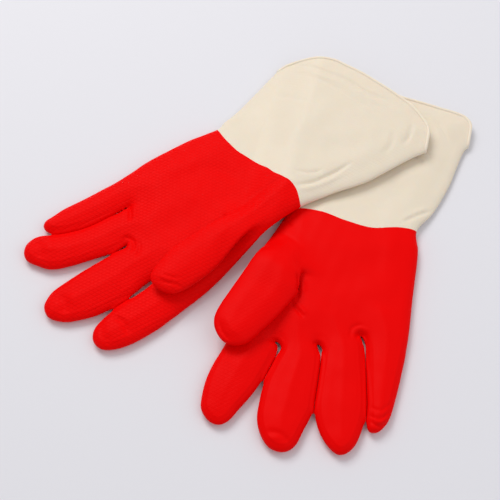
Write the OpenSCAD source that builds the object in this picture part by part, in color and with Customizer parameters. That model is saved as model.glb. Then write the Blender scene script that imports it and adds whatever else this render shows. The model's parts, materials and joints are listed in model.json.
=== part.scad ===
// A pair of household rubber gloves lying palm up, the left one resting on the
// cuff of the right one. Each glove is a cream latex glove whose hand part has a
// second, red coat, a rolled bead round the mouth and a flock-faced lining.
// +Z is up, the gloves lie on the plane z = 0, fingers point to -X and -Y.

/* [Pair] */
// Length of one glove from the middle fingertip to the mouth (mm)
glove_length = 298; // [280:1:320]

/* [Walls] */
// Thickness of the red outer coat of the hand and fingers
red_wall = 0.8; // [0.6:0.1:1.0]
// Thickness of the cream cuff
cuff_wall = 0.9; // [0.6:0.1:1.0]
// Thickness of the flock-faced lining inside the red coat
liner_wall = 0.6; // [0.5:0.1:0.8]
// Diameter of the rolled bead at the mouth
bead_d = 2.6; // [2.0:0.1:2.8]

/* [Lying heights] */
// Height of the palm where the glove lies flat
palm_height = 12; // [11.5:0.5:12.5]
// Height of a finger where it lies flat
finger_height = 12; // [11:0.5:12.5]
// Height of the folded-over thumb above the palm
thumb_height = 11; // [10.5:0.5:12]
// Height of the lower cuff where it lies flat; the upper one is a little higher
cuff_height = 9; // [8:0.5:9]
// Height of the mouth of the upper cuff, which stands a little open
mouth_height = 12; // [10:0.5:13]

/* [Hidden] */

red_l = [0.93, 0.04, 0.02];
red_r = [0.88, 0.03, 0.02];
cream = [0.93, 0.86, 0.77];
flock = [0.96, 0.93, 0.87];

// Plan coordinates below are drawn for a glove 310 long and scaled to glove_length
k = glove_length / 310;
centre = [2.47, 5.28];            // middle of the pair in the drawn plan
gap = 0.3;                  // clearance between two parts that move
skin_gap = 0.15;            // clearance between the red coat and the lining
n_wide = 30;                // sides of a palm or cuff section
n_fing = 14;                // sides of a finger section
lift = 11.4;                // how far the left cuff rides up on the right one

// A plan point in its final place
function pl(p) = (p - centre) * k;
function unit(v) = v / norm(v);
function side(v) = [-v[1], v[0]];
function mix(a, b, t) = a + (b - a) * t;
// Height across an oval section, flat over the middle where it lies on the table
function flat_oval(v, e) = (v < 0 ? -1 : 1) * min(1, 1.09 * pow(abs(v), e));

// Stations of a palm or cuff: [first edge, second edge, base height at each edge, height, bow,
// fraction of the width over which the base height rises from the first edge to the second]
right_cuff_st = [
  [[34, 32], [128, 15], 0, 0, palm_height - 2, 0, 1],
  [[40, 62], [141, 38], 0, 0, cuff_height, 1, 1],
  [[47, 94], [153, 62], 0, 0, cuff_height, 4, 1],
  [[54, 126], [165, 85], 0.4, 0.4, cuff_height, 8, 1],
  [[61, 150], [174, 103], 1, 1, cuff_height, 11, 1]];
right_hand_st = [
  [[34, 32], [128, 15], 0, 0, palm_height - 2, 0, 1],
  [[22, 4], [125, -12], 0, 0, palm_height, 0, 1],
  [[8, -28], [119, -38], 0, 0, palm_height, 0, 1],
  [[-6, -56], [113, -62], 0, 0, palm_height, -2, 1],
  [[-14, -70], [109, -72], 0, 0, palm_height - 1, -4, 1],
  [[-13, -75], [106, -76], 1.5, 1.5, palm_height - 5, -5, 1]];
left_cuff_st = [
  [[-25, 106], [40, 34], 0, lift, palm_height - 2, 0, 1],
  [[-13, 122], [66, 43], 0, lift, cuff_height + 1, 3, 0.66],
  [[1, 139], [94, 54], 1, lift, cuff_height + 1, 10, 0.45],
  [[15, 155], [119, 65], 2, lift + 0.5, cuff_height + 2, 20, 0.31],
  [[29, 170], [141, 78], 3, lift + 1, mouth_height, 31, 0.2]];
left_hand_st = [
  [[-25, 106], [40, 34], 0, lift, palm_height - 2, 0, 1],
  [[-47, 97], [14, 12], 0, 4, palm_height, 0, 1],
  [[-66, 86], [-13, -18], 0, 0.5, palm_height, 0, 1],
  [[-83, 75], [-34, -40], 0, 0, palm_height, 0, 1],
  [[-97, 62], [-52, -55], 0, 0, palm_height - 1, -4, 1],
  [[-102, 56], [-58, -56], 1.5, 1.5, palm_height - 5, -5, 1]];

// Fingers: [hinge point, bend point, tip, half width at hinge, at tip, base height at hinge, at tip, angle of the hinge line]
right_index = [[-9, -100], [-15, -118], [-27, -141], 17, 15, 0, 0, 162];
right_middle = [[33, -93], [28, -124], [23, -161], 17, 15.5, 0, 0, 173];
right_ring = [[67, -93], [65, -124], [61, -163], 15.5, 14, 0, 0, 176];
right_little = [[97.5, -89], [93.5, -116], [88, -147], 12.5, 10.5, 0, 0, 171];
right_thumb_f = [[16, -29], [0, -55], [-17, -84], 18, 17, palm_height + 0.5, palm_height + 0.5, 149];
left_index = [[-75, -51], [-95, -68], [-114, -79], 17, 15.5, 0, 0, 124];
left_middle = [[-96, -23], [-118, -42], [-152, -52], 17.5, 15, 0, 0, 118];
left_ring = [[-106, 6], [-136, 0], [-171, -7], 13, 11.5, 0, 0, 100];
left_little = [[-112, 40], [-134, 29], [-157, 17], 12.5, 10.5, 0, 3, 100];
left_thumb_f = [[-21, 1], [-44, -20], [-71, -38], 14.5, 16, palm_height + 2.5, palm_height + 0.5, 139];

// Roots of the fingers inside the palm, and of the thumb at the heel of the hand
right_roots = [[right_index, [4, -58], 18, 1], [right_middle, [36, -60], 16, 1],
  [right_ring, [67, -60], 15, 1], [right_little, [97, -58], 12.5, 1], [right_thumb_f, [36, 6], 14, 1]];
left_roots = [[left_index, [-44, -28], 17, 1], [left_middle, [-68, -6], 17, 1],
  [left_ring, [-78, 18], 13.5, 1], [left_little, [-84, 48], 12.5, 1], [left_thumb_f, [8, 27], 12, 5]];

// One closed section from edge a to edge b, flat oval, tilted by its two base heights,
// drawn in by `inset` all round and moved by `shift` along the glove
function section(a, b, za, zb, h, bow, rise, inset, shift, n) =
  let (pa = pl(a), pb = pl(b), m = (pa + pb) / 2, hw = norm(pb - pa) / 2,
       u = unit(pb - pa), f = side(u))
  [for (i = [0 : n - 1]) let (t = 360 * i / n, c = cos(t), s = flat_oval(sin(t), 0.75),
       p = m + u * (hw - inset) * c + f * (shift + bow * k * (1 - c * c)))
     [p[0], p[1], mix(za, zb, min(1, (1 + c) / 2 / rise)) + h / 2 + (h / 2 - inset) * s]];
function station(st, inset, shift, n = n_wide) =
  section(st[0], st[1], st[2], st[3], st[4], st[5], st[6], inset, shift, n);

// Centre line of a finger, its half width and its cross direction
function bez(f, t) = pl(f[0]) * (1 - t) * (1 - t) + pl(f[1]) * 2 * t * (1 - t) + pl(f[2]) * t * t;
function dir(f, t) = unit((pl(f[1]) - pl(f[0])) * (1 - t) + (pl(f[2]) - pl(f[1])) * t);
function cross_dir(f, t) = unit(mix([cos(f[7]), sin(f[7])], -side(dir(f, t)) * (side(dir(f, t)) * [cos(f[7]), sin(f[7])] < 0 ? 1 : -1), min(1, 2.5 * t)));
function finger_len(f) = norm(pl(f[2]) - pl(f[0]));
function tip_start(f) = 1 - 0.95 * f[4] / finger_len(f);
function roundness(f, t) = t <= tip_start(f) ? 1 : sqrt(max(0, 1 - pow((t - tip_start(f)) / (1 - tip_start(f)), 2)));
function finger_ring(f, t, h, inset, t_in, n = n_fing) =
  let (c = bez(f, t_in), x = cross_dir(f, t), r = roundness(f, t), w = max(0.6, mix(f[3], f[4], t) * k * r - inset),
       hh = max(0.5, (h / 2) * (0.35 + 0.65 * r) - inset), z = mix(f[5], f[6], t) + h / 2)
  [for (i = [0 : n - 1]) let (a = 360 * i / n)
     [c[0] + x[0] * w * cos(a), c[1] + x[1] * w * cos(a), z + hh * flat_oval(sin(a), 0.8)]];

// Steps along a finger, closer together where the tip rounds off
steps = [0, 0.22, 0.44, 0.62, 0.74, 0.84, 0.92, 0.98];
function finger_rings(f, h, inset, start) =
  let (len = finger_len(f), s = (len - inset) / len)
  [for (t = steps) finger_ring(f, t, h, inset, t == 0 ? start / len : t * s)];

// Triangles between rings a and b of n points, and a cap over one ring
function band(a, b, n) = [for (i = [0 : n - 1]) let (j = (i + 1) % n) each [[a + i, a + j, b + j], [a + i, b + j, b + i]]];
function flip(t) = [for (f = t) [f[2], f[1], f[0]]];
// Cap of a ring in upright strips, so that nested rings keep nested caps
function fan(a, n) = [for (i = [0 : n / 2 - 1]) each concat(
  i < n / 2 - 1 ? [[a + i, a + n - i - 1, a + i + 1]] : [],
  i > 0 ? [[a + i, a + n - i, a + (i < n / 2 - 1 ? n - i - 1 : n / 2)]] : [])];
function tube_faces(first, rings, n) = [for (r = [0 : rings - 2]) each band((first + r) * n, (first + r + 1) * n, n)];
function flat(rings) = [for (r = rings) each r];

// Solid loft through a list of rings
module solid_loft(rings, n) {
  m = len(rings);
  polyhedron(flat(rings), concat(tube_faces(0, m, n), fan(0, n), flip(fan((m - 1) * n, n))), convexity = 4);
}
// Shell between an outer and an inner list of rings: open at both ends, or closed at the far end
module shell_loft(outer, inner, n, closed) {
  m = len(outer);
  polyhedron(flat(concat(outer, inner)), concat(
    tube_faces(0, m, n), flip(tube_faces(m, m, n)),
    flip(band(0, m * n, n)),
    closed ? concat(flip(fan((m - 1) * n, n)), fan((2 * m - 1) * n, n)) : band((m - 1) * n, (2 * m - 1) * n, n)),
    convexity = 6);
}

// Cuff wall, open at the wrist and at the mouth
module cuff_shell(st) {
  last = len(st) - 1;
  function sh(i) = i == 0 ? gap / 2 : 0;
  shell_loft([for (i = [0 : last]) station(st[i], 0, sh(i))],
             [for (i = [0 : last]) station(st[i], cuff_wall, sh(i))], n_wide, false);
}

// Rolled bead that runs round the mouth just past the end of the cuff wall
module mouth_bead(st) {
  r = bead_d / 2;
  n = n_wide;
  m = 8;
  edge = station(st[len(st) - 1], cuff_wall / 2, 0);
  before = station(st[len(st) - 2], cuff_wall / 2, 0);
  ring = [for (i = [0 : n - 1]) let (d = unit(edge[i] - before[i]), t = unit(edge[(i + 1) % n] - edge[(i + n - 1) % n]))
    edge[i] + d * (r + 0.3) / norm(cross(t, d))];
  ax = side(unit(pl(st[0][1]) - pl(st[0][0])));
  pts = [for (i = [0 : n - 1]) let (p = ring[i], a = ring[(i + n - 1) % n], b = ring[(i + 1) % n],
           t = unit(b - a), q = unit(cross(t, [ax[0], ax[1], 0])), v = cross(q, t))
         each [for (j = [0 : m - 1]) p + (q * cos(360 * j / m) + v * sin(360 * j / m)) * r]];
  polyhedron(pts, [for (i = [0 : n - 1]) each band(i * m, ((i + 1) % n) * m, m)], convexity = 6);
}

// Palm with the roots of its fingers and thumb, drawn in by `inset`; `past` runs it out of its openings
module hand_body(st, roots, inset, past) {
  last = len(st) - 1;
  rings = [for (i = [last : -1 : 0]) station(st[i], inset, i == 0 ? -gap / 2 - min(past, 0.4) : (i == last ? 2.8 * inset : 0))];
  solid_loft(past > 0 ? concat(rings, [station(st[0], inset, past)]) : rings, n_wide);
  for (i = [0 : len(roots) - 1]) {
    root_loft(roots, i, inset, past);
    hull() translate([each pl(roots[i][1]) + 4 * dir(roots[i][0], 0), roots[i][3] + 5]) cube(2, center = true);  // core
  }
}
// Root of finger i, from inside the palm to its hinge line, and then to `past` it
module root_loft(roots, i, inset, past) {
  f = roots[i][0];
  h = i == 4 ? thumb_height : finger_height;
  d = dir(f, 0);
  c = pl(roots[i][1]) + d * inset;
  x = [cos(f[7]), sin(f[7])];
  w = roots[i][2] * k - 1.3 * inset;
  hp = i == 4 ? palm_height - 3 : palm_height - 2;
  root = [for (j = [0 : n_fing - 1]) let (a = 360 * j / n_fing)
    [c[0] + x[0] * w * cos(a), c[1] + x[1] * w * cos(a),
     roots[i][3] + hp / 2 + max(1, hp / 2 - 0.15 - 1.2 * inset) * flat_oval(sin(a), 0.8)]];
  end = finger_ring(f, 0, h, inset, 0);
  function moved(s) = [for (p = end) [p[0] + d[0] * s, p[1] + d[1] * s, p[2]]];
  solid_loft(past > 0 ? [root, moved(-0.4), moved(past)] : [root, end], n_fing);
}
module hand_shell(st, roots, from_in, to_in) {
  difference() {
    hand_body(st, roots, from_in, 0);
    hand_body(st, roots, to_in, 2);
  }
}

// One finger stall, or its lining, closed at the tip
module stall(f, h, from_in, to_in) {
  shell_loft(finger_rings(f, h, from_in, gap), finger_rings(f, h, to_in, gap), n_fing, true);
}

lin_in = red_wall + skin_gap;
lin_out = lin_in + liner_wall;

module right_cuff() { color(cream) cuff_shell(right_cuff_st); }
module right_cuff_bead() { color(cream) mouth_bead(right_cuff_st); }
module right_hand() { color(red_r) hand_shell(right_hand_st, right_roots, 0, red_wall); }
module right_thumb() { color(red_r) stall(right_thumb_f, thumb_height, 0, red_wall); }
module right_index_finger() { color(red_r) stall(right_index, finger_height, 0, red_wall); }
module right_middle_finger() { color(red_r) stall(right_middle, finger_height, 0, red_wall); }
module right_ring_finger() { color(red_r) stall(right_ring, finger_height, 0, red_wall); }
module right_little_finger() { color(red_r) stall(right_little, finger_height, 0, red_wall); }
module right_hand_liner() { color(flock) hand_shell(right_hand_st, right_roots, lin_in, lin_out); }
module right_thumb_liner() { color(flock) stall(right_thumb_f, thumb_height, lin_in, lin_out); }
module right_index_liner() { color(flock) stall(right_index, finger_height, lin_in, lin_out); }
module right_middle_liner() { color(flock) stall(right_middle, finger_height, lin_in, lin_out); }
module right_ring_liner() { color(flock) stall(right_ring, finger_height, lin_in, lin_out); }
module right_little_liner() { color(flock) stall(right_little, finger_height, lin_in, lin_out); }

module left_cuff() { color(cream) cuff_shell(left_cuff_st); }
module left_cuff_bead() { color(cream) mouth_bead(left_cuff_st); }
module left_hand() { color(red_l) hand_shell(left_hand_st, left_roots, 0, red_wall); }
module left_thumb() { color(red_l) stall(left_thumb_f, thumb_height, 0, red_wall); }
module left_index_finger() { color(red_l) stall(left_index, finger_height, 0, red_wall); }
module left_middle_finger() { color(red_l) stall(left_middle, finger_height, 0, red_wall); }
module left_ring_finger() { color(red_l) stall(left_ring, finger_height, 0, red_wall); }
module left_little_finger() { color(red_l) stall(left_little, finger_height, 0, red_wall); }
module left_hand_liner() { color(flock) hand_shell(left_hand_st, left_roots, lin_in, lin_out); }
module left_thumb_liner() { color(flock) stall(left_thumb_f, thumb_height, lin_in, lin_out); }
module left_index_liner() { color(flock) stall(left_index, finger_height, lin_in, lin_out); }
module left_middle_liner() { color(flock) stall(left_middle, finger_height, lin_in, lin_out); }
module left_ring_liner() { color(flock) stall(left_ring, finger_height, lin_in, lin_out); }
module left_little_liner() { color(flock) stall(left_little, finger_height, lin_in, lin_out); }

right_cuff();
right_cuff_bead();
right_hand();
right_thumb();
right_index_finger();
right_middle_finger();
right_ring_finger();
right_little_finger();
right_hand_liner();
right_thumb_liner();
right_index_liner();
right_middle_liner();
right_ring_liner();
right_little_liner();
left_cuff();
left_cuff_bead();
left_hand();
left_thumb();
left_index_finger();
left_middle_finger();
left_ring_finger();
left_little_finger();
left_hand_liner();
left_thumb_liner();
left_index_liner();
left_middle_liner();
left_ring_liner();
left_little_liner();
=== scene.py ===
import json
import math
import bpy
import numpy as np
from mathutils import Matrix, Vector


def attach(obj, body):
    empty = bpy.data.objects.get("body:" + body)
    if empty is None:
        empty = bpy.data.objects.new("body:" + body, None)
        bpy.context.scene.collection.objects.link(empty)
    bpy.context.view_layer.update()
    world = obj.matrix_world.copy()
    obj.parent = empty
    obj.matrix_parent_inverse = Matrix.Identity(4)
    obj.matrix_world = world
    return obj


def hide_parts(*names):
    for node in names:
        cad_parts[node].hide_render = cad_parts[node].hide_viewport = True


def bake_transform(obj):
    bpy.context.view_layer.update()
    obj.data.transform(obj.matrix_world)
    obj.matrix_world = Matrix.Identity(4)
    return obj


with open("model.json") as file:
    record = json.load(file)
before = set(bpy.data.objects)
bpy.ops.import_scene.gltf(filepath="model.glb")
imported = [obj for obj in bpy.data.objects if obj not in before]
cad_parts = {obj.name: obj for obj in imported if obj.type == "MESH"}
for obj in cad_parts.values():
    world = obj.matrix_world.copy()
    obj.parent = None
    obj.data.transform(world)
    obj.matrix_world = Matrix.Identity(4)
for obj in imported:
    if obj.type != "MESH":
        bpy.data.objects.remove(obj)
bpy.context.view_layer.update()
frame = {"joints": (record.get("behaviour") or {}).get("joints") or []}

# ---------------------------------------------------------------- plan geometry
K = 298 / 310
CEN = np.array([2.47, 5.28])


def pl(p):
    """Drawn plan point(s) to the frame, in mm."""
    return (np.asarray(p, float) - CEN) * K


def smooth(x, a, b):
    t = np.clip((np.asarray(x, float) - a) / (b - a), 0, 1)
    return t * t * (3 - 2 * t)


def curve(points, closed, n=4):
    """Catmull-Rom through the points."""
    p = np.asarray(points, float)
    if closed:
        q = np.vstack([p[-1:], p, p[:2]])
    else:
        q = np.vstack([2 * p[:1] - p[1:2], p, 2 * p[-1:] - p[-2:-1]])
    out = []
    for i in range(1, len(q) - 2):
        a, b, c, d = q[i - 1], q[i], q[i + 1], q[i + 2]
        for t in np.arange(n) / n:
            out.append(0.5 * ((2 * b) + (c - a) * t + (2 * a - 5 * b + 4 * c - d) * t * t + (3 * b - a - 3 * c + d) * t ** 3))
    if not closed:
        out.append(q[-2])
    return np.array(out)


def sdf2(X, Y, poly):
    """Signed distance to a closed outline, positive inside."""
    d = np.full(X.shape, 1e9)
    ins = np.zeros(X.shape, bool)
    n = len(poly)
    for i in range(n):
        a, b = poly[i], poly[(i + 1) % n]
        e = b - a
        if e @ e < 1e-9:
            continue
        wx, wy = X - a[0], Y - a[1]
        t = np.clip((wx * e[0] + wy * e[1]) / (e @ e), 0, 1)
        d = np.minimum(d, (wx - e[0] * t) ** 2 + (wy - e[1] * t) ** 2)
        if a[1] != b[1]:
            ins ^= ((a[1] > Y) != (b[1] > Y)) & (X < (b[0] - a[0]) * (Y - a[1]) / (b[1] - a[1]) + a[0])
    return np.where(ins, np.sqrt(d), -np.sqrt(d))


def line_dist(P, poly, signed=False):
    """Distance of plan points to an open line, and how far along it (0 to 1) the nearest point lies."""
    X, Y = P[:, 0], P[:, 1]
    best = np.full(len(P), 1e9)
    side = np.ones(len(P))
    at = np.zeros(len(P))
    n = len(poly) - 1
    for i in range(n):
        a, b = poly[i], poly[i + 1]
        e = b - a
        wx, wy = X - a[0], Y - a[1]
        t = np.clip((wx * e[0] + wy * e[1]) / (e @ e), 0, 1)
        d = np.hypot(wx - e[0] * t, wy - e[1] * t)
        m = d < best - 1e-9
        best[m] = d[m]
        side[m] = np.sign(e[0] * wy - e[1] * wx)[m]
        at[m] = (i + t[m]) / n
    side[side == 0] = 1
    return (best * side if signed else best), at


def extended(poly, by=60):
    p = np.asarray(poly, float)
    a = p[0] + (p[0] - p[1]) / np.linalg.norm(p[0] - p[1]) * by
    b = p[-1] + (p[-1] - p[-2]) / np.linalg.norm(p[-1] - p[-2]) * by
    return np.vstack([a, p, b])


# Each glove: outline of palm, fingers and cuff lying flat, outline of the folded thumb, dip line, mouth line.
LEFT = dict(
    side="left",
    outline=[(-27, 107), (-21, 115), (-12.3, 124), (3.5, 143), (14.5, 157), (24.5, 170), (31, 184), (52, 189), (74, 184), (84, 178),
             (99, 167), (117, 152), (134, 137), (142, 127), (152, 108), (156, 93), (150, 82),
             (141, 80), (126, 73), (103, 59), (89, 51), (65, 42), (50, 36), (40, 31), (27, 22), (13, 10), (0, -4), (-14, -19),
             (-32, -38), (-49, -53), (-66, -67), (-83, -78), (-95, -83), (-105, -84), (-111, -81), (-114, -75), (-112.5, -67),
             (-105.5, -58.5), (-96.5, -50.2), (-84.5, -41.6), (-73, -31.5), (-70, -27.5), (-74, -28.5), (-87, -39.8), (-98.5, -49.3), (-113, -57),
             (-127, -61), (-137, -62), (-147, -59), (-151, -53), (-151, -47), (-146, -38), (-135, -29), (-121, -18.4), (-103, -6.5),
             (-94.5, -1), (-93.5, 1.5), (-96, 0.2), (-103, -4.2), (-122, -11.6), (-138, -17), (-150, -19), (-160, -16), (-168, -12), (-171, -6), (-170, 1),
             (-165, 6.5), (-159, 8.8), (-151, 9.2), (-143, 10.0), (-134, 12.4), (-123, 16.6), (-108, 25.4), (-97, 32.6), (-92.8, 36), (-96, 34.6), (-107, 27.1),
             (-123, 18.3), (-135, 13.7), (-144, 11.6), (-151, 11.5), (-156, 13.6), (-158.4, 17.5), (-157, 22), (-152, 26), (-144, 32.5), (-132, 39.5),
             (-118, 48.5), (-104, 58), (-93, 66.5), (-83, 75), (-66, 86), (-48, 97)],
    thumb=[(34, 41), (21, 27), (6, 11), (-9, -4), (-26, -25), (-40, -37), (-51, -44), (-59, -45), (-68, -41), (-73, -34), (-72, -27),
           (-66, -18), (-58, -8), (-41, 5), (-24, 16), (-4, 30), (8, 40), (20, 48), (32, 52), (40, 48)],
    dip=[(-27, 107), (-20, 95), (-11, 83.5), (-4.5, 78.5), (2, 73.5), (8, 68.5), (13.5, 64), (18, 58.5), (22.5, 54.5), (28, 50.5), (33, 45), (36, 39), (38, 31)],
    mouth=[(24.5, 168), (33, 172), (51, 171.5), (69, 168), (78, 163), (91, 155), (107, 142.5), (122, 129.5), (130.5, 121.5), (139, 108), (142, 99), (140, 88)],
    stall={"index": ([-75, -51], [-95, -68], [-114, -79], 17, 124), "middle": ([-96, -23], [-118, -42], [-152, -52], 17.5, 118),
           "ring": ([-106, 6], [-136, 0], [-171, -7], 13, 100), "little": ([-112, 40], [-134, 29], [-157, 17], 12.5, 100),
           "thumb": ([-21, 1], [-44, -20], [-71, -38], 14.5, 139)},
    root=(40, 70),
)
RIGHT = dict(
    side="right",
    outline=[(34, 32), (40, 62), (47, 94), (54, 126), (59, 148), (62, 168), (90, 163), (130, 148), (151, 140), (168, 134), (184, 126), (190, 112),
             (185, 98), (173, 89), (165, 73), (156, 53), (142, 30), (128, 14), (127.5, -2), (126, -14), (120.5, -43), (114.5, -77), (107.5, -104), (101.5, -124), (96.5, -137),
             (90, -144.5), (84.5, -146), (81.5, -143), (81.9, -137), (82.8, -115), (83.8, -97), (84.2, -84), (82, -75.5), (79.5, -73), (81, -77), (81.7, -84), (81.7, -97),
             (82.0, -115), (81.2, -130), (77, -145), (70.5, -157), (61, -161.5), (52.5, -154), (46.8, -141), (45.6, -126), (48.4, -109), (51.2, -92),
             (52, -83.5), (48.5, -79.5), (49.3, -85), (50.2, -93), (47.9, -109), (45.0, -125), (43.2, -132),
             (37, -144), (31, -155), (23, -159.5), (14, -157), (8, -149), (5, -137), (6.6, -124), (10.6, -108), (17.6, -93.5),
             (22.4, -84), (20.8, -79), (17.5, -77.6), (20.0, -82.5), (15.8, -93), (9.0, -106), (2.0, -117), (-8, -129), (-15, -137),
             (-22, -140), (-29, -137), (-34, -129), (-34, -121), (-31, -107), (-25, -93), (-18, -80), (-12, -66), (-5, -52), (6, -28), (16, -6), (24, 10)],
    thumb=[(30, 20), (14, 1), (5, -12), (-4, -26), (-16, -45), (-24, -59), (-26, -68), (-24, -76), (-19, -83), (-11, -86), (-2, -84), (8, -75),
           (19, -64), (29, -52), (34.5, -45), (36, -39), (37, -31), (45, -12), (50, 10), (46, 28), (38, 34)],
    dip=[(33, 31), (42, 30.2), (50, 28.6), (57, 26.4), (62, 24.4), (69, 21), (76, 18.2), (84, 15.2), (91, 13.4), (98, 12.8), (104, 13.2), (111, 13.8), (118, 13.6), (131, 12)],
    mouth=[(58, 158), (70, 157), (100, 148), (126, 138.5), (138, 134.5), (148, 131), (156, 127.5), (163, 125), (170, 122), (175, 119), (179, 112), (177, 101)],
    stall={"index": ([-9, -100], [-15, -118], [-27, -141], 17, 162), "middle": ([33, -93], [28, -124], [23, -161], 17, 173),
           "ring": ([67, -93], [65, -124], [61, -163], 15.5, 176), "little": ([97.5, -89], [93.5, -116], [88, -147], 12.5, 171),
           "thumb": ([16, -29], [0, -55], [-17, -84], 18, 149)},
    root=(24, 38),
)
# Creases and dents: layer (0 palm side of the flat part, 1 thumb, 2 both), height, width, line
LEFT["folds"] = [
    (0, -1.5, 1.5, [(-94.5, 37), (-92.4, 29), (-91.5, 18)]), (0, 0.5, 1.8, [(-88.8, 36), (-88, 20)]),
    (0, -1.3, 1.3, [(-97.5, 4), (-93, 6), (-88.5, 3), (-87.5, -3), (-90.5, -8)]), (0, 0.8, 1.5, [(-95, -1), (-91.6, 0.5), (-92.3, -4.5)]),
    (0, -0.7, 1.3, [(-85, 4), (-83, -4), (-86, -12)]),
    (0, -0.9, 3.4, [(-108, -64), (-106.5, -74), (-100, -82)]), (0, -1.1, 2.2, [(-100, -60), (-92, -65), (-87, -75)]), (0, 0.5, 1.6, [(-97, -58.5), (-88, -63.5)]),
    (0, -1.2, 4.0, [(-163, 4), (-158.5, -4), (-157, -13)]), (0, 0.5, 3.0, [(-152, 3), (-150, -8)]),
    (0, -1.2, 3.6, [(-141, -42), (-135.5, -50), (-135, -58)]), (0, 0.5, 2.6, [(-131, -42), (-128, -52)]),
    (2, -1.0, 2.4, [(-24, 17.5), (-4, 31.5), (8, 41), (22, 49), (34, 54)]),
    (1, -0.75, 1.1, [(-67, -36), (-61, -38.5), (-55, -39.5), (-47, -43)]), (1, -0.6, 1.0, [(-66, -31), (-58, -34.5), (-50, -35)]), (1, 0.45, 1.2, [(-66, -33.6), (-56, -37)]),
    (0, -0.8, 1.6, [(38, 169), (60, 156), (78, 147), (99, 132), (124, 119)]), (0, 0.45, 1.8, [(36, 164), (58, 151), (76, 142), (97, 127), (121, 114)]),
    (0, -0.5, 1.8, [(48, 152), (66, 142), (88, 126), (104, 113)]), (0, -0.4, 2.2, [(20, 140), (36, 132), (58, 116)]),
    (0, -1.5, 1.5, [(34, 44), (47, 48), (58, 54), (68, 59.5), (79, 67)]), (0, 0.8, 1.9, [(36, 40), (48, 44), (60, 50), (72, 57)]),
    (0, -0.9, 1.4, [(34, 58), (46, 57), (56, 60)]),
    (0, -1.2, 13.0, [(0, 118), (6, 112)]), (0, -1.1, 11.0, [(72, 84), (80, 80)]), (0, 0.7, 9.0, [(30, 90), (62, 120)]),
    (0, -0.7, 6.0, [(-14, 60), (-34, 66), (-52, 58)]), (0, 0.5, 9.0, [(-40, 40), (-66, 30)]), (0, -0.6, 8.0, [(-60, 14), (-76, 4)]),
    (0, -0.8, 2.0, [(120, 84), (126, 92), (129, 104)]), (0, -0.6, 2.4, [(104, 74), (112, 86), (113, 98)]),
]
RIGHT["folds"] = [
    (2, -1.9, 1.3, [(34.6, -30), (35.6, -38), (34.6, -47)]), (0, 0.6, 1.8, [(39, -32), (39.5, -42)]),
    (0, -1.4, 1.2, [(29, -48), (34, -55), (39.5, -62.5)]), (0, 0.5, 1.5, [(34.5, -51.5), (41.5, -59.5)]),
    (0, -1.2, 1.3, [(12.5, -77.5), (17.5, -78.6), (21.3, -84)]), (0, 0.5, 1.3, [(14, -74.5), (21, -76.5), (24.5, -82)]),
    (0, -1.2, 1.3, [(45, -81.5), (48.6, -80.5), (51.2, -88)]), (0, 0.4, 1.4, [(46, -77.5), (52.5, -79), (55, -86)]),
    (0, -1.3, 1.3, [(76.5, -78), (78.3, -73.5), (83.5, -74.5), (84.3, -81)]), (0, 0.6, 1.5, [(74.5, -73), (79.5, -69.5), (87, -72)]), (0, -0.6, 1.3, [(72, -78), (74, -69), (82, -66)]),
    (0, -0.8, 1.1, [(83, -134), (89, -137.5), (97, -132)]), (0, -0.8, 1.1, [(83.5, -139), (89, -142), (95.5, -138.5)]), (0, -0.6, 1.1, [(84, -128.5), (91, -131.5), (98, -125)]),
    (0, 0.5, 1.2, [(84, -136.5), (90, -140), (96, -135)]),
    (1, -0.9, 1.5, [(-22, -68), (-19.5, -77), (-13, -84)]), (1, 0.5, 2.0, [(-17, -66), (-14, -74), (-8, -80)]),
    (0, -0.8, 2.0, [(11, -146), (21, -148.5), (27.5, -155)]), (0, 0.4, 2.0, [(12, -150), (20, -152.5)]),
    (0, -0.7, 6.0, [(-14, -108), (-19, -122), (-20, -133)]), (0, -0.5, 7.0, [(62, -110), (60, -140)]),
    (0, -1.0, 1.5, [(116, 18), (124, 23), (131, 27), (142, 32)]), (0, 0.6, 1.8, [(117, 22), (126, 27.5), (138, 34)]),
    (0, -0.7, 1.7, [(128, 84), (134, 77), (139, 70)]), (0, -0.6, 1.7, [(134, 92), (141, 84), (147, 75)]), (0, 0.4, 2.0, [(131, 88), (138, 80)]),
    (0, -0.6, 1.9, [(150, 116), (156, 104), (160, 92)]), (0, -0.5, 2.0, [(140, 122), (146, 108), (149, 96)]),
    (2, -0.45, 2.0, [(9, 20), (20, 13), (31, 3), (38, -4)]), (2, -0.5, 1.6, [(18, 27), (26, 22), (34, 14)]),
    (0, -0.7, 12.0, [(70, -30), (92, -20)]), (0, 0.5, 12.0, [(60, 0), (100, -6)]), (0, -0.5, 10.0, [(66, -56), (96, -50)]),
    (0, -0.9, 10.0, [(110, 60), (118, 52)]), (0, 0.5, 9.0, [(100, 100), (120, 110)]),
]

TOP = 12.0        # palm height
ZT = 13.9         # underside of the free part of the thumb, as meshed
HINGES = {}
for G in (LEFT, RIGHT):
    for nm, (h, b, t, w, a) in G["stall"].items():
        x = np.array([math.cos(math.radians(a)), math.sin(math.radians(a))])
        n = np.array([-x[1], x[0]])
        d = pl(t) - pl(h)
        if n @ d < 0:
            n = -n
        HINGES[G["side"], nm] = (pl(h), n, x, w * K)


def wander(x, y, s, seed):
    """Slow even noise, from a few sine waves."""
    rng = np.random.RandomState(seed)
    out = 0
    for _ in range(7):
        a, ph, q = rng.uniform(0, 2 * math.pi), rng.uniform(0, 2 * math.pi), rng.uniform(0.6, 1.7)
        out = out + np.sin((x * math.cos(a) + y * math.sin(a)) * q * 2 * math.pi / s + ph)
    return out / 7


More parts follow.
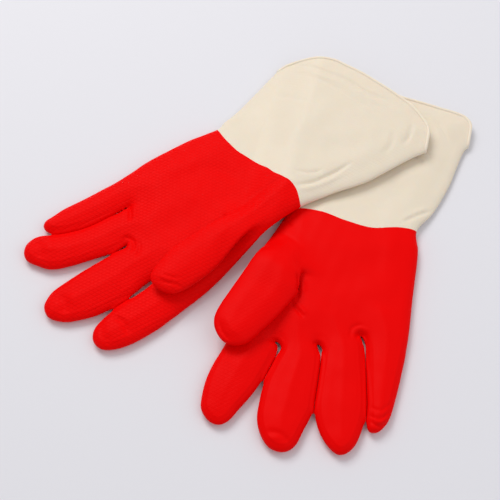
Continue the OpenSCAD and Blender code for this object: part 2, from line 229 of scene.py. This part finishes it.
# ---------------------------------------------------------------- field and surface
def field(G, hx, hz):
    main = curve(pl(G["outline"]), True)
    th = curve(pl(G["thumb"]), True)
    lo = np.minimum(main.min(0), th.min(0)) - 4
    hi = np.maximum(main.max(0), th.max(0)) + 4
    xs = np.arange(lo[0], hi[0] + hx, hx)
    ys = np.arange(lo[1], hi[1] + hx, hx)
    zs = np.arange(-2.0, 27.5, hz)
    X, Y = np.meshgrid(xs, ys, indexing="ij")
    sd = sdf2(X, Y, main)
    gm = np.zeros(X.shape)
    for nm in ("index", "middle", "ring", "little"):
        fh, fn, fx, fw = HINGES[G["side"], nm]
        s = (X - fh[0]) * fn[0] + (Y - fh[1]) * fn[1]
        lat = np.abs((X - fh[0]) * fx[0] + (Y - fh[1]) * fx[1])
        gm = np.maximum(gm, smooth(s, -12, -4) * (lat < fw + 26))
    sd = sd - 0.45 * gm
    P = np.c_[X.ravel(), Y.ravel()]
    dd = line_dist(P, extended(curve(pl(G["dip"]), False, 3)), True)[0].reshape(X.shape)
    if G["side"] == "left":
        cuffness = smooth(dd, -6, 26)
    else:
        cuffness = smooth(dd, -6, 26)
    H = (TOP / 2 - 0.1) * (0.8 + 0.2 * smooth(sd, 2, 24)) * (1 + 0.05 * wander(X, Y, 70, 3)) - 1.75 * cuffness
    H = np.minimum(H, TOP / 2)
    zb = np.full(X.shape, 0.2)

    def pouch(sd, zb, H, R):
        e = np.clip((R - sd) / R, 0, None)
        q = np.sqrt((e ** 2)[:, :, None] + ((zs[None, None, :] - (zb + H)[:, :, None]) / H[:, :, None]) ** 2)
        return (q - 1) * np.minimum(R, H)[:, :, None]

    f = pouch(sd, zb, H, 8.5 - 2.0 * cuffness)
    sdt = sdf2(X, Y, th)
    h, n, _, _ = HINGES[G["side"], "thumb"]
    s = (X - h[0]) * n[0] + (Y - h[1]) * n[1]
    drop, run = G["root"]
    bot = ZT - (ZT - 1.0) * smooth(-6 - s, 0, drop)
    top = (ZT + 10.4) - (ZT + 10.4 - TOP + 2.0) * smooth(-4 - s, 0, run)
    Ht = np.maximum((top - bot) / 2, 1.0) * (0.82 + 0.18 * smooth(sdt, 2, 14))
    Ht = np.where(s > -6, np.minimum(Ht, 5.3), Ht)
    g = pouch(sdt, bot, Ht, 8.0 + 5 * smooth(-6 - s, 0, 20))
    kk = np.maximum(8.0 * smooth(-7 - s, 0, 14), 1e-3)[:, :, None]
    m = np.clip(0.5 + 0.5 * (g - f) / kk, 0, 1)
    u = g * (1 - m) + f * m - kk * m * (1 - m)
    return u, np.array([lo[0], lo[1], zs[0]]), np.array([hx, hx, hz])


CORN = np.array([(i, j, k) for i in (0, 1) for j in (0, 1) for k in (0, 1)])


def nets(f, org, h):
    """Surface of f = 0 as triangles facing out of f < 0."""
    s = f < 0
    a, b, c = f.shape
    tot = np.zeros((a - 1, b - 1, c - 1), np.int8)
    for i, j, k in CORN:
        tot += s[i:a - 1 + i, j:b - 1 + j, k:c - 1 + k]
    act = (tot > 0) & (tot < 8)
    idx = np.full(act.shape, -1, np.int64)
    idx[act] = np.arange(act.sum())
    ci = np.argwhere(act)
    acc = np.zeros((len(ci), 3))
    cnt = np.zeros(len(ci))
    for p in CORN:
        for ax in range(3):
            if p[ax]:
                continue
            q = p.copy()
            q[ax] = 1
            fa = f[ci[:, 0] + p[0], ci[:, 1] + p[1], ci[:, 2] + p[2]]
            fb = f[ci[:, 0] + q[0], ci[:, 1] + q[1], ci[:, 2] + q[2]]
            m = (fa < 0) != (fb < 0)
            t = fa[m] / (fa[m] - fb[m])
            acc[m] += p + (q - p) * t[:, None]
            cnt[m] += 1
    V = (ci + acc / cnt[:, None]) * h + org
    quads = []
    for ax, u, v in ((0, 1, 2), (1, 2, 0), (2, 0, 1)):
        lo = [slice(None)] * 3
        hi = [slice(None)] * 3
        lo[ax], hi[ax] = slice(0, -1), slice(1, None)
        sa, sb = s[tuple(lo)], s[tuple(hi)]
        e = np.argwhere(sa != sb)
        e = e[(e[:, u] > 0) & (e[:, v] > 0) & (e[:, u] < f.shape[u] - 1) & (e[:, v] < f.shape[v] - 1)]
        ins = s[e[:, 0], e[:, 1], e[:, 2]]

        def cell(du, dv):
            q = e.copy()
            q[:, u] += du
            q[:, v] += dv
            return idx[q[:, 0], q[:, 1], q[:, 2]]
        q = np.c_[cell(-1, -1), cell(0, -1), cell(0, 0), cell(-1, 0)]
        q[~ins] = q[~ins][:, ::-1]
        quads.append(q)
    Q = np.vstack(quads)
    d1 = np.linalg.norm(V[Q[:, 0]] - V[Q[:, 2]], axis=1)
    d2 = np.linalg.norm(V[Q[:, 1]] - V[Q[:, 3]], axis=1)
    m = d1 <= d2
    F = np.vstack([Q[m][:, [0, 1, 2]], Q[m][:, [0, 2, 3]], Q[~m][:, [1, 2, 3]], Q[~m][:, [1, 3, 0]]])
    return V, F


def edges_of(F):
    e = np.sort(np.vstack([F[:, [0, 1]], F[:, [1, 2]], F[:, [2, 0]]]), 1)
    return np.unique(e, axis=0)


def relax(V, F, rounds, lam=0.5, mu=-0.52):
    E = edges_of(F)
    n = len(V)
    deg = np.bincount(E.ravel(), minlength=n)[:, None]
    for r in range(rounds):
        for w in (lam, mu):
            S = np.stack([np.bincount(E[:, 0], V[E[:, 1], k], n) + np.bincount(E[:, 1], V[E[:, 0], k], n) for k in range(3)], 1)
            V = V + w * (S / np.maximum(deg, 1) - V)
    return V


def normals(V, F):
    fn = np.cross(V[F[:, 1]] - V[F[:, 0]], V[F[:, 2]] - V[F[:, 0]])
    N = np.stack([sum(np.bincount(F[:, j], fn[:, k], len(V)) for j in range(3)) for k in range(3)], 1)
    return N / np.maximum(np.linalg.norm(N, axis=1), 1e-12)[:, None]


def split(V, F, A, phi):
    """Cut triangles along phi = 0. A holds further columns carried by the vertices."""
    phi = np.where(np.abs(phi) < 0.12, 0.0, phi)
    E = edges_of(F)
    cr = phi[E[:, 0]] * phi[E[:, 1]] < 0
    E = E[cr]
    t = (phi[E[:, 0]] / (phi[E[:, 0]] - phi[E[:, 1]]))[:, None]
    nv = len(V)
    V2 = np.vstack([V, V[E[:, 0]] * (1 - t) + V[E[:, 1]] * t])
    A2 = np.vstack([A, A[E[:, 0]] * (1 - t) + A[E[:, 1]] * t])
    phi2 = np.r_[phi, np.zeros(len(E))]
    key = {(int(a), int(b)): nv + i for i, (a, b) in enumerate(E)}
    sg = np.sign(phi)[F]
    touched = (sg.max(1) > 0) & (sg.min(1) < 0)
    keep = F[~touched]
    out = []
    for tri in F[touched]:
        v = [int(x) for x in tri]
        s = [np.sign(phi[x]) for x in v]
        if 0 in s:
            i = s.index(0)
            a, b, c = v[i], v[(i + 1) % 3], v[(i + 2) % 3]
            m = key[min(b, c), max(b, c)]
            out += [(a, b, m), (a, m, c)]
        else:
            i = [j for j in range(3) if s[j] != s[(j + 1) % 3] and s[j] != s[(j + 2) % 3]][0]
            a, b, c = v[i], v[(i + 1) % 3], v[(i + 2) % 3]
            m, n = key[min(a, b), max(a, b)], key[min(a, c), max(a, c)]
            out += [(a, m, n), (m, b, c), (m, c, n)]
    F2 = np.vstack([keep, np.array(out, int)]) if out else keep
    return V2, F2, A2, phi2


def cut_loop(V, F, A, cuts, phi, centre, cid):
    """Cut along phi = 0, only around the loop of triangles nearest to a point."""
    ph = np.where(np.abs(phi) < 0.12, 0.0, phi)
    c = (ph[F].max(1) >= 0) & (ph[F].min(1) <= 0)
    sub = F[c]
    used, loc = np.unique(sub, return_inverse=True)
    loc = loc.reshape(sub.shape)
    lab = np.arange(len(used))
    while True:
        old = lab.copy()
        mn = lab[loc].min(1)
        for j in range(3):
            np.minimum.at(lab, loc[:, j], mn)
        lab = lab[lab]
        if (lab == old).all():
            break
    tl = lab[loc[:, 0]]
    best, pick = 1e9, None
    for l in np.unique(tl):
        m = V[np.unique(sub[tl == l])].mean(0)
        d = ((m - np.array(centre)) ** 2).sum() + (0 if (tl == l).sum() > 20 else 1e6)
        if d < best:
            best, pick = d, l
    sel = np.zeros(len(F), bool)
    sel[np.flatnonzero(c)[tl == pick]] = True
    V2, T, A2, p2 = split(V, F[sel], A, phi)
    cuts = np.r_[cuts, np.zeros(len(V2) - len(V), np.int64)]
    m = np.zeros(len(V2), bool)
    m[T.ravel()] = True
    cuts[m & (p2 == 0)] = cid
    return V2, np.vstack([F[~sel], T]), A2, cuts


def shell(V, F, N, R, wall):
    """Closed shell: the surface, a copy of it `wall` inside, and a rim along every open edge."""
    used = np.unique(F)
    rem = np.full(len(V), -1)
    rem[used] = np.arange(len(used))
    F = rem[F]
    V, N, R = V[used], N[used], R[used]
    n = len(V)
    W = V - N * wall
    e = np.vstack([F[:, [0, 1]], F[:, [1, 2]], F[:, [2, 0]]])
    code = np.minimum(e[:, 0], e[:, 1]) * n + np.maximum(e[:, 0], e[:, 1])
    u, inv, c = np.unique(code, return_inverse=True, return_counts=True)
    b = e[c[inv] == 1]
    rim = np.vstack([np.c_[b[:, 1], b[:, 0], b[:, 0] + n], np.c_[b[:, 1], b[:, 0] + n, b[:, 1] + n]])
    return np.vstack([V, W]), np.vstack([F, F[:, ::-1] + n, rim]), np.vstack([R, R]), N, len(F), b


def build_object(name, V, F, R, N, nf, mat):
    """Mesh in metres, smooth shading with the normals of the whole glove on both skins."""
    me = bpy.data.meshes.new(name)
    me.vertices.add(len(V))
    me.vertices.foreach_set("co", (V / 1000).astype(np.float32).ravel())
    me.loops.add(len(F) * 3)
    me.loops.foreach_set("vertex_index", F.astype(np.int32).ravel())
    me.polygons.add(len(F))
    me.polygons.foreach_set("loop_start", (np.arange(len(F)) * 3).astype(np.int32))
    me.update(calc_edges=True)
    me.polygons.foreach_set("use_smooth", np.ones(len(F), bool))
    at = me.attributes.new("flat", "FLOAT_VECTOR", "POINT")
    at.data.foreach_set("vector", (R[:, :3] / 1000).astype(np.float32).ravel())
    at = me.attributes.new("grip", "FLOAT", "POINT")
    at.data.foreach_set("value", R[:, 3].astype(np.float32))
    if N is not None:
        n = len(V) // 2
        fn = np.cross(V[F[:, 1]] - V[F[:, 0]], V[F[:, 2]] - V[F[:, 0]])
        fn /= np.maximum(np.linalg.norm(fn, axis=1), 1e-12)[:, None]
        L = np.repeat(fn, 3, 0)
        idx = F.ravel()
        L[:nf * 3] = N[idx[:nf * 3]]
        L[nf * 3:nf * 6] = -N[idx[nf * 3:nf * 6] - n]
        me.normals_split_custom_set([tuple(x) for x in L])
    me.materials.append(mat)
    ob = bpy.data.objects.new(name, me)
    bpy.context.scene.collection.objects.link(ob)
    me.validate(clean_customdata=False)
    return ob


# ---------------------------------------------------------------- materials
def node(nt, kind, **kw):
    n = nt.nodes.new(kind)
    for k, v in kw.items():
        setattr(n, k, v)
    return n


def rubber(name, colour, rough, spec, grip_height, mottle, sss=0.0, sss_r=(1, 0.4, 0.3)):
    m = bpy.data.materials.new(name)
    m.use_nodes = True
    nt = m.node_tree
    b = nt.nodes["Principled BSDF"]
    b.inputs["Specular IOR Level"].default_value = spec
    b.inputs["Subsurface Weight"].default_value = sss
    b.inputs["Subsurface Radius"].default_value = sss_r
    b.inputs["Subsurface Scale"].default_value = 0.0015
    at = node(nt, "ShaderNodeAttribute", attribute_name="flat")
    gr = node(nt, "ShaderNodeAttribute", attribute_name="grip")
    # colour: faint cloudiness
    ns = node(nt, "ShaderNodeTexNoise")
    ns.inputs["Scale"].default_value = 38
    ns.inputs["Detail"].default_value = 4
    nt.links.new(at.outputs["Vector"], ns.inputs["Vector"])
    mx = node(nt, "ShaderNodeMix", data_type="RGBA")
    mx.inputs[6].default_value = (*colour, 1)
    mx.inputs[7].default_value = (*[c * mottle for c in colour], 1)
    nt.links.new(ns.outputs["Fac"], mx.inputs[0])
    nt.links.new(mx.outputs[2], b.inputs["Base Color"])
    # roughness
    n2 = node(nt, "ShaderNodeTexNoise")
    n2.inputs["Scale"].default_value = 160
    n2.inputs["Detail"].default_value = 5
    nt.links.new(at.outputs["Vector"], n2.inputs["Vector"])
    mr = node(nt, "ShaderNodeMapRange")
    mr.inputs["To Min"].default_value = rough - 0.06
    mr.inputs["To Max"].default_value = rough + 0.08
    nt.links.new(n2.outputs["Fac"], mr.inputs["Value"])
    nt.links.new(mr.outputs["Result"], b.inputs["Roughness"])
    # raised diamonds: two crossed sets of ridges, 2.5 mm apart
    sep = node(nt, "ShaderNodeSeparateXYZ")
    nt.links.new(at.outputs["Vector"], sep.inputs[0])
    waves = []
    for a in (62, 118):
        ca, sa = math.cos(math.radians(a)) * math.pi / 0.0025, math.sin(math.radians(a)) * math.pi / 0.0025
        m1 = node(nt, "ShaderNodeMath", operation="MULTIPLY")
        m1.inputs[1].default_value = ca
        m2 = node(nt, "ShaderNodeMath", operation="MULTIPLY_ADD")
        m2.inputs[1].default_value = sa
        nt.links.new(sep.outputs[0], m1.inputs[0])
        nt.links.new(sep.outputs[1], m2.inputs[0])
        nt.links.new(m1.outputs[0], m2.inputs[2])
        s = node(nt, "ShaderNodeMath", operation="SINE")
        nt.links.new(m2.outputs[0], s.inputs[0])
        ab = node(nt, "ShaderNodeMath", operation="ABSOLUTE")
        nt.links.new(s.outputs[0], ab.inputs[0])
        waves.append(ab)
    mn = node(nt, "ShaderNodeMath", operation="MINIMUM")
    nt.links.new(waves[0].outputs[0], mn.inputs[0])
    nt.links.new(waves[1].outputs[0], mn.inputs[1])
    sm = node(nt, "ShaderNodeMapRange", interpolation_type="SMOOTHSTEP")
    sm.inputs["From Min"].default_value = 0.08
    sm.inputs["From Max"].default_value = 0.5
    nt.links.new(mn.outputs[0], sm.inputs["Value"])
    gm = node(nt, "ShaderNodeMath", operation="MULTIPLY")
    nt.links.new(sm.outputs["Result"], gm.inputs[0])
    nt.links.new(gr.outputs["Fac"], gm.inputs[1])
    bump = node(nt, "ShaderNodeBump")
    bump.inputs["Strength"].default_value = 1.0
    bump.inputs["Distance"].default_value = grip_height
    nt.links.new(gm.outputs[0], bump.inputs["Height"])
    n3 = node(nt, "ShaderNodeTexNoise")
    n3.inputs["Scale"].default_value = 900
    n3.inputs["Detail"].default_value = 3
    nt.links.new(at.outputs["Vector"], n3.inputs["Vector"])
    b2 = node(nt, "ShaderNodeBump")
    b2.inputs["Strength"].default_value = 0.25
    b2.inputs["Distance"].default_value = 0.00006
    nt.links.new(n3.outputs["Fac"], b2.inputs["Height"])
    nt.links.new(bump.outputs["Normal"], b2.inputs["Normal"])
    nt.links.new(b2.outputs["Normal"], b.inputs["Normal"])
    return m


RED_L = rubber("red coat, left", (0.94, 0.0004, 0.0003), 0.5, 0.05, 0.00016, 0.95)
# the right glove's red is a darker copy of the same rubber as the left's: painted shade for the right glove lying less
# lit
RED_R_SHADED = rubber("red coat, right, painted shade", (0.9, 0.0002, 0.0002), 0.5, 0.05, 0.0001, 0.95)
CREAM = rubber("cream latex", (0.87, 0.75, 0.6), 0.5, 0.35, 0.00008, 0.95, 0.25, (1, 0.65, 0.4))
BEAD = rubber("cream latex, rolled", (0.9, 0.79, 0.64), 0.45, 0.38, 0.0, 0.96, 0.2, (1, 0.65, 0.4))
FLOCK = rubber("cotton flock", (0.86, 0.8, 0.7), 0.9, 0.1, 0.0, 0.9)


# ---------------------------------------------------------------- shaping
def lift(P):
    """How far the left glove is raised where it lies over the right glove's cuff."""
    a, b = pl((20, 8)), pl((60, 160))
    e = (b - a) / np.linalg.norm(b - a)
    d = (P[:, 0] - a[0]) * e[1] - (P[:, 1] - a[1]) * e[0]
    return 10.9 * smooth(d, -34, 0)


def shape(G, V, N, low):
    """Creases, closed finger gaps, thumb laid down, nothing under `low`, lift. V and N are as meshed."""
    P = V[:, :2]
    side = G["side"]
    thumb = V[:, 2] > 12.95
    h, n, x, w = HINGES[side, "thumb"]
    st = (P - h) @ n
    # fingers swell until neighbours almost touch
    g = np.zeros(len(V))
    for nm in ("index", "middle", "ring", "little"):
        fh, fn, fx, fw = HINGES[side, nm]
        q = P - fh
        s, lat = q @ fn, np.abs(q @ fx)
        g = np.maximum(g, smooth(s, -12, 0) * (lat < fw + 26))
    g = np.where(thumb, 0, g)
    # where a neighbour is near, each side takes half of what is left between them
    nn = N[:, :2] / np.maximum(np.hypot(N[:, 0], N[:, 1]), 1e-6)[:, None]
    Q = P + nn * 3.6
    m = g > 0
    v = np.full(len(V), -1.0)
    v[m] = sdf2(Q[m, 0], Q[m, 1], curve(pl(G["outline"]), True))
    half = np.clip((3.6 - v + 0.45) / 2 - 0.08, 0.6, 1.9)
    by = 0.7 + (half - 0.7) * smooth(v, 0.1, 0.9) * (np.hypot(N[:, 0], N[:, 1]) > 0.25)
    U = V + N * (by * g)[:, None] * np.array([1, 1, 0.2])
    up = np.clip((N[:, 2] + 0.15) / 0.7, 0, 1)
    dz = np.zeros(len(V))
    for layer, a, wd, line in G["folds"]:
        c = curve(pl(line), False, 4) if len(line) > 2 else pl(line)
        d, at = line_dist(P, c)
        ends = np.minimum(1, 4 * np.minimum(at, 1 - at) + 0.12) if wd < 5 else 1.0
        v = a * np.exp(-(d / wd) ** 2) * ends
        if layer == 0:
            v = np.where(thumb & (st > -6), 0, v)
        elif layer == 1:
            v = np.where(thumb, v, 0)
        dz += v
    dz += 0.28 * wander(P[:, 0], P[:, 1], 34, 11) + 0.16 * wander(P[:, 0], P[:, 1], 17, 5)
    U[:, 2] += dz * up
    U[:, 2] -= np.where(thumb, 1.15 * smooth(st, -4, 14), 0)
    U[:, 2] = np.maximum(U[:, 2], low)
    if side == "left":
        U[:, 2] += lift(P)
    return U


def grip(G, V, N):
    up = smooth(N[:, 2], -0.1, 0.3)
    P = V[:, :2]
    d = line_dist(P, extended(curve(pl(G["dip"]), False, 3)), True)[0]
    if G["side"] == "left":
        return up * (1 - 0.55 * smooth(d, -2, 2))
    h, n, x, w = HINGES["right", "thumb"]
    q = P - h
    near = smooth(q @ n, -4, 4) * smooth(np.abs((P - pl((4, -62))) @ x), 30, 12)
    return up * (0.1 + 0.5 * near) * (1 - 0.6 * smooth(d, -2, 2))


def glove(G, hx, hz, iso, rounds):
    """The whole skin of one glove, cut into labelled parts."""
    f, org, h = field(G, hx, hz)
    V, F = nets(f + iso, org, h)
    V = relax(V, F, rounds)
    N = normals(V, F)
    A = np.c_[V, grip(G, V, N), N]
    side = G["side"]
    U = shape(G, V, N, 0.05 if iso == 0 else 1.05)
    # columns of A: flat position 0-2, grip 3, flat normal 4-6; shaped position kept beside it
    A = np.c_[A, U]
    mouth = extended(curve(pl(G["mouth"]), False, 4))
    phi = line_dist(V[:, :2], mouth, True)[0]
    if side == "left":
        cuff_side = line_dist(np.array([pl((60, 100))]), mouth, True)[0][0]
    else:
        cuff_side = line_dist(np.array([pl((110, 80))]), mouth, True)[0][0]
    phi = -phi * np.sign(cuff_side)
    V, F, A, phi = split(V, F, A, phi)
    F = F[phi[F].max(1) <= 0]
    cuts = np.zeros(len(V), np.int64)
    cuts[phi == 0] = 1
    dip = extended(curve(pl(G["dip"]), False, 4))
    phi = line_dist(V[:, :2], dip, True)[0]
    V, F, A, phi = split(V, F, A, phi)
    cuts = np.r_[cuts, np.zeros(len(V) - len(cuts), np.int64)]
    cuts[phi == 0] = 2
    for i, nm in enumerate(("index", "middle", "ring", "little", "thumb")):
        fh, fn, fx, fw = HINGES[side, nm]
        off = 3 if nm == "thumb" else 6
        c = fh - fn * off
        V, F, A, cuts = cut_loop(V, F, A, cuts, (V[:, :2] - fh) @ fn + off, (c[0], c[1], ZT + 5 if nm == "thumb" else 6), 3 + i)
    U = A[:, 7:10]
    nrm = normals(U, F)
    # labels
    e = np.sort(np.vstack([F[:, [0, 1]], F[:, [1, 2]], F[:, [2, 0]]]), 1)
    fi = np.tile(np.arange(len(F)), 3)
    free = ~((cuts[e[:, 0]] > 0) & (cuts[e[:, 0]] == cuts[e[:, 1]]))
    code = (e[:, 0] * len(V) + e[:, 1])[free]
    fi = fi[free]
    o = np.argsort(code, kind="stable")
    code, fi = code[o], fi[o]
    m = code[1:] == code[:-1]
    a, b = fi[:-1][m], fi[1:][m]
    lab = np.arange(len(F))
    while True:
        old = lab.copy()
        mn = np.minimum(lab[a], lab[b])
        np.minimum.at(lab, a, mn)
        np.minimum.at(lab, b, mn)
        lab = lab[lab]
        if (lab == old).all():
            break
    C = V[F].mean(1)
    seeds = {nm: (*pl(np.asarray(t) * 0.8 + np.asarray(b_) * 0.2), (ZT + 9 if nm == "thumb" else 11)) for nm, (h_, b_, t, w_, a_) in G["stall"].items()}
    seeds["cuff"] = (*pl((70, 110) if side == "left" else (120, 80)), 8)
    seeds["hand"] = (*pl((-60, 50) if side == "left" else (75, -30)), 11)
    out = {}
    for nm, p in seeds.items():
        j = np.argmin(((C - np.array(p)) ** 2).sum(1))
        out[nm] = F[lab == lab[j]]
    sizes = {nm: len(x) for nm, x in out.items()}
    print(side, "iso", iso, "faces", len(F), "labelled", sum(sizes.values()), sizes, "parts", len(np.unique(lab)))
    return U, nrm, A[:, :4], out, cuts


def loops(b):
    """Edges (directed) to closed loops of vertex numbers."""
    nxt = {int(x): int(y) for x, y in b}
    out = []
    while nxt:
        s = next(iter(nxt))
        loop = [s]
        c = nxt.pop(s)
        while c != s and c in nxt:
            loop.append(c)
            c = nxt.pop(c)
        out.append(loop)
    return out


def tube(line, r, sides, name, mat):
    """Closed ring of round section along a closed line."""
    n = len(line)
    t = np.roll(line, -1, 0) - np.roll(line, 1, 0)
    t /= np.linalg.norm(t, axis=1)[:, None]
    up = np.tile([0, 0, 1.0], (n, 1))
    a = np.cross(t, up)
    a /= np.maximum(np.linalg.norm(a, axis=1), 1e-6)[:, None]
    for i in range(1, n):
        if a[i] @ a[i - 1] < 0:
            a[i] = -a[i]
    c = np.cross(a, t)
    ang = 2 * math.pi * np.arange(sides) / sides
    rr = r * (1 + 0.06 * wander(np.arange(n) * 1.0, np.zeros(n), 22, 2))
    V = (line[:, None, :] + rr[:, None, None] * (a[:, None, :] * np.cos(ang)[None, :, None] + c[:, None, :] * np.sin(ang)[None, :, None])).reshape(-1, 3)
    flip = a[-1] @ a[0] < 0
    F = []
    for i in range(n):
        k = (i + 1) % n
        for j in range(sides):
            l = (j + 1) % sides
            if k == 0 and flip:
                jj, ll = (sides // 2 - j) % sides, (sides // 2 - l) % sides
            else:
                jj, ll = j, l
            F += [(i * sides + j, i * sides + l, k * sides + ll), (i * sides + j, k * sides + ll, k * sides + jj)]
    F = np.array(F)
    N = normals(V, F)
    if ((V - np.repeat(line, sides, 0)) * N).sum() < 0:
        F = F[:, ::-1]
    R = np.c_[V, np.zeros(len(V))]
    return build_object(name, V, F, R, None, 0, mat)


BOD = {"hand": "hand", "cuff": "cuff", "thumb": "thumb", "index": "index", "middle": "middle", "ring": "ring", "little": "little"}
JT = {j["name"]: j for j in frame["joints"]}
made = []


def place(ob, side, nm, V3):
    """Parts ride on their body; the fingers, thumbs, the right hand and the left cuff are only baked in place."""
    if nm in ("index", "middle", "ring", "little", "thumb"):
        h, n, x, w = HINGES[side, nm]
        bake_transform(ob)
    elif (side, nm) in (("right", "hand"), ("left", "cuff")):
        j = JT["right_wrist_bend" if side == "right" else "left_cuff_fold"]
        ax = np.array(j["axis"])[:2]
        ax = ax / np.linalg.norm(ax)
        n = np.array([-ax[1], ax[0]])
        to = pl((75, -60)) if side == "right" else pl((80, 130))
        p0 = np.array(j["pos_m"])[:2] * 1000
        if n @ (to - p0) < 0:
            n = -n
        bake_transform(ob)
    else:
        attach(ob, side + "_" + nm)
    made.append(ob)


HX, HZ = ((1.05, 0.7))
for G in (LEFT, RIGHT):
    side = G["side"]
    red = RED_L if side == "left" else RED_R_SHADED
    U, nrm, R, out, cuts = glove(G, HX, HZ, 0.0, 6)
    for nm, F in out.items():
        if len(F) < 20:
            print("EMPTY PART", side, nm)
            continue
        V3, F3, R3, N3, nf, rim = shell(U, F, nrm, R, 0.75)
        name = side + "_" + {"hand": "hand", "cuff": "cuff", "thumb": "thumb"}.get(nm, nm + "_finger")
        ob = build_object("glove_" + name, V3, F3, R3, N3, nf, CREAM if nm == "cuff" else red)
        place(ob, side, nm, V3)
        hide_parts(name)
        if nm == "cuff":
            used = np.unique(F)
            cc = cuts[used]
            rl = [l for l in loops(rim) if (cc[l] == 1).mean() > 0.6]
            rl = max(rl, key=len)
            line = V3[rl] - N3[rl] * 0.35
            # even spacing along the mouth
            d = np.r_[0, np.cumsum(np.linalg.norm(np.roll(line, -1, 0) - line, axis=1))]
            m = int(d[-1] / 1.5)
            tt = np.linspace(0, d[-1], m, endpoint=False)
            ext = np.vstack([line, line[:1]])
            line = np.stack([np.interp(tt, d, ext[:, k]) for k in range(3)], 1)
            for _ in range(3):
                line = 0.5 * line + 0.25 * (np.roll(line, 1, 0) + np.roll(line, -1, 0))
            line[:, 2] = np.maximum(line[:, 2], 1.42)
            bead = tube(line, 1.3, 12, "glove_" + side + "_cuff_bead", BEAD)
            if side == "left":
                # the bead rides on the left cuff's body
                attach(bead, "left_cuff")
            else:
                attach(bead, "right_cuff")
            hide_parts(side + "_cuff_bead")
            made.append(bead)
    U, nrm, R, out, cuts = glove(G, 2.4, 1.2, 1.3, 2)
    for nm, F in out.items():
        if nm == "cuff" or len(F) < 20:
            continue
        V3, F3, R3, N3, nf, rim = shell(U, F, nrm, R, 0.4)
        name = side + "_" + {"hand": "hand", "thumb": "thumb"}.get(nm, nm) + "_liner"
        ob = build_object("glove_" + name, V3, F3, R3, N3, nf, FLOCK)
        place(ob, side, nm, V3)
        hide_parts(name)

# ---------------------------------------------------------------- floor, light, camera
me = bpy.data.meshes.new("floor")
q = 6.0
me.from_pydata([(-q, -q, 0), (q, -q, 0), (q, q, 0), (-q, q, 0)], [], [(0, 1, 2, 3)])
floor = bpy.data.objects.new("floor", me)
bpy.context.scene.collection.objects.link(floor)
fm = bpy.data.materials.new("floor")
fm.use_nodes = True
b = fm.node_tree.nodes["Principled BSDF"]
b.inputs["Base Color"].default_value = (0.80, 0.79, 0.83, 1)
b.inputs["Roughness"].default_value = 0.75
b.inputs["Specular IOR Level"].default_value = 0.2
me.materials.append(fm)

sc = bpy.context.scene
world = bpy.data.worlds.new("sky") if sc.world is None else sc.world
sc.world = world
world.use_nodes = True
bg = world.node_tree.nodes["Background"]
bg.inputs["Color"].default_value = (0.97, 0.98, 1.0, 1)
bg.inputs["Strength"].default_value = 0.5


def area(name, loc, at, size, power, colour=(1, 1, 1)):
    l = bpy.data.lights.new(name, "AREA")
    l.energy = power
    l.size = size
    l.color = colour
    o = bpy.data.objects.new(name, l)
    o.location = loc
    o.rotation_euler = (Vector(at) - Vector(loc)).to_track_quat("-Z", "Y").to_euler()
    sc.collection.objects.link(o)


area("key", (-0.5, 0.95, 1.4), (0, 0, 0), 0.9, 15.8, (1, 0.99, 0.97))
area("fill", (0.9, -0.3, 1.2), (0, 0, 0), 1.4, 4, (0.97, 0.98, 1))

cam = bpy.data.cameras.new("camera")
cam.lens = 72
cam.sensor_width = 36
cam.dof.use_dof = False
co = bpy.data.objects.new("camera", cam)
el = math.radians(62)
tgt = Vector((-0.002374, -0.005076, 0))
dist = 0.7354
co.location = tgt + Vector((0, -math.cos(el) * dist, math.sin(el) * dist))
co.rotation_euler = (math.radians(28), 0, 0)
sc.collection.objects.link(co)
sc.camera = co
sc.view_settings.view_transform = "Standard"

for ob in made:
    tris = sum(len(p.vertices) - 2 for p in ob.data.polygons)
    if tris > 195000:
        print("HEAVY", ob.name, tris)
